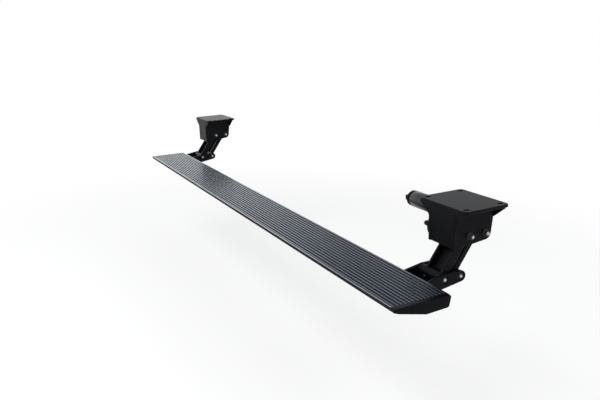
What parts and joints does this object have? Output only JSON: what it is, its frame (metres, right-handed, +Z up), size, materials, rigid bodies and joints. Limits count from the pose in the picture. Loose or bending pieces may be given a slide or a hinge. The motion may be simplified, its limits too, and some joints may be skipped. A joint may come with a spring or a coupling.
{
  "type": "power running board",
  "caption": "Power running board: a long ribbed aluminium step with moulded end caps on swinging four-bar linkages with mounting brackets, driven by a gear motor at the front linkage.",
  "frame": {"origin": "centre of the front mounting bracket's top face, where it meets the vehicle", "axes": "+X along the board towards the vehicle's front, +Y towards the vehicle's middle, +Z up"},
  "size_m": [2.024, 0.3645, 0.2144],
  "materials": {
    "black_anodised_aluminium": "fine satin black anodising",
    "black_coated_casting": "satin black powder coat on cast aluminium",
    "black_moulded_plastic": "fine-grained moulded black",
    "black_phosphated_steel": "dark phosphate",
    "zinc_plated_steel": "bright zinc plating",
    "machined_steel": "machined, lightly oiled",
    "painted_motor_can": "semi-gloss black paint",
    "sleeve_bronze": "sintered bronze",
    "black_rubber": "matt moulded rubber"
  },
  "bodies": {
    "vehicle_side": {"mounting_bracket_front": "black_coated_casting", "bump_stop_front": "black_rubber", "upper_idler_bolt_front": "zinc_plated_steel", "upper_idler_nut_front": "black_phosphated_steel", "mounting_bracket_rear": "black_coated_casting", "bump_stop_rear": "black_rubber", "upper_idler_bolt_rear": "zinc_plated_steel", "upper_idler_nut_rear": "black_phosphated_steel", "upper_main_bolt_rear": "zinc_plated_steel", "upper_main_nut_rear": "black_phosphated_steel", "gear_case": "black_coated_casting", "case_screw_a": "zinc_plated_steel", "case_screw_b": "zinc_plated_steel", "case_screw_c": "zinc_plated_steel", "gearbox_screw_a": "zinc_plated_steel", "gearbox_screw_b": "zinc_plated_steel", "gearbox_screw_c": "zinc_plated_steel", "gearbox_housing": "black_coated_casting", "motor_can": "painted_motor_can", "motor_end_cap": "black_moulded_plastic"},
    "front_main_arm": {"main_arm_front": "black_coated_casting", "main_arm_low_sleeve_front": "sleeve_bronze", "drive_shaft": "machined_steel", "drive_shaft_nut": "black_phosphated_steel", "sector_gear": "machined_steel"},
    "board": {"board_extrusion": "black_anodised_aluminium", "end_cap_front": "black_moulded_plastic", "end_cap_rear": "black_moulded_plastic", "step_bracket_front": "black_coated_casting", "t_bolt_front_a": "zinc_plated_steel", "t_bolt_front_b": "zinc_plated_steel", "t_bolt_nut_front_a": "black_phosphated_steel", "t_bolt_nut_front_b": "black_phosphated_steel", "lower_main_bolt_front": "zinc_plated_steel", "lower_main_nut_front": "black_phosphated_steel", "lower_idler_bolt_front": "zinc_plated_steel", "lower_idler_nut_front": "black_phosphated_steel", "step_bracket_rear": "black_coated_casting", "t_bolt_rear_a": "zinc_plated_steel", "t_bolt_rear_b": "zinc_plated_steel", "t_bolt_nut_rear_a": "black_phosphated_steel", "t_bolt_nut_rear_b": "black_phosphated_steel", "lower_main_bolt_rear": "zinc_plated_steel", "lower_main_nut_rear": "black_phosphated_steel", "lower_idler_bolt_rear": "zinc_plated_steel", "lower_idler_nut_rear": "black_phosphated_steel"},
    "rear_main_arm": {"main_arm_rear": "black_coated_casting", "main_arm_low_sleeve_rear": "sleeve_bronze", "main_arm_top_sleeve_rear": "sleeve_bronze"},
    "front_idler_arm": {"idler_arm_front": "black_coated_casting", "idler_arm_low_sleeve_front": "sleeve_bronze", "idler_arm_top_sleeve_front": "sleeve_bronze"},
    "rear_idler_arm": {"idler_arm_rear": "black_coated_casting", "idler_arm_low_sleeve_rear": "sleeve_bronze", "idler_arm_top_sleeve_rear": "sleeve_bronze"},
    "pinion": {"drive_pinion": "machined_steel"}
  },
  "joints": [
    {"name": "front_main_arm_swing", "type": "hinge", "parent": "vehicle_side", "child": "front_main_arm", "pos_m": [0, -0.019, -0.075], "axis": [1, 0, 0], "range_deg": [0, 90]},
    {"name": "board_level", "type": "hinge", "parent": "front_main_arm", "child": "board", "pos_m": [0, -0.08953, -0.17208], "axis": [1, 0, 0], "range_deg": [-90, 0]},
    {"name": "rear_main_arm_swing", "type": "hinge", "parent": "vehicle_side", "child": "rear_main_arm", "pos_m": [-1.792, -0.019, -0.075], "axis": [1, 0, 0], "range_deg": [0, 90]},
    {"name": "front_idler_arm_swing", "type": "hinge", "parent": "vehicle_side", "child": "front_idler_arm", "pos_m": [0, 0.029, -0.075], "axis": [1, 0, 0], "range_deg": [0, 90]},
    {"name": "rear_idler_arm_swing", "type": "hinge", "parent": "vehicle_side", "child": "rear_idler_arm", "pos_m": [-1.792, 0.029, -0.075], "axis": [1, 0, 0], "range_deg": [0, 90]},
    {"name": "pinion_turn", "type": "hinge", "parent": "vehicle_side", "child": "pinion", "pos_m": [-0.0565, -0.00865, -0.03636], "axis": [1, 0, 0], "range_deg": [-270, 0]}
  ],
  "couplings": [
    {"joint": "board_level", "follows": "front_main_arm_swing", "ratio": -1},
    {"joint": "rear_main_arm_swing", "follows": "front_main_arm_swing", "ratio": 1},
    {"joint": "front_idler_arm_swing", "follows": "front_main_arm_swing", "ratio": 1},
    {"joint": "rear_idler_arm_swing", "follows": "front_main_arm_swing", "ratio": 1},
    {"joint": "pinion_turn", "follows": "front_main_arm_swing", "ratio": -3}
  ]
}
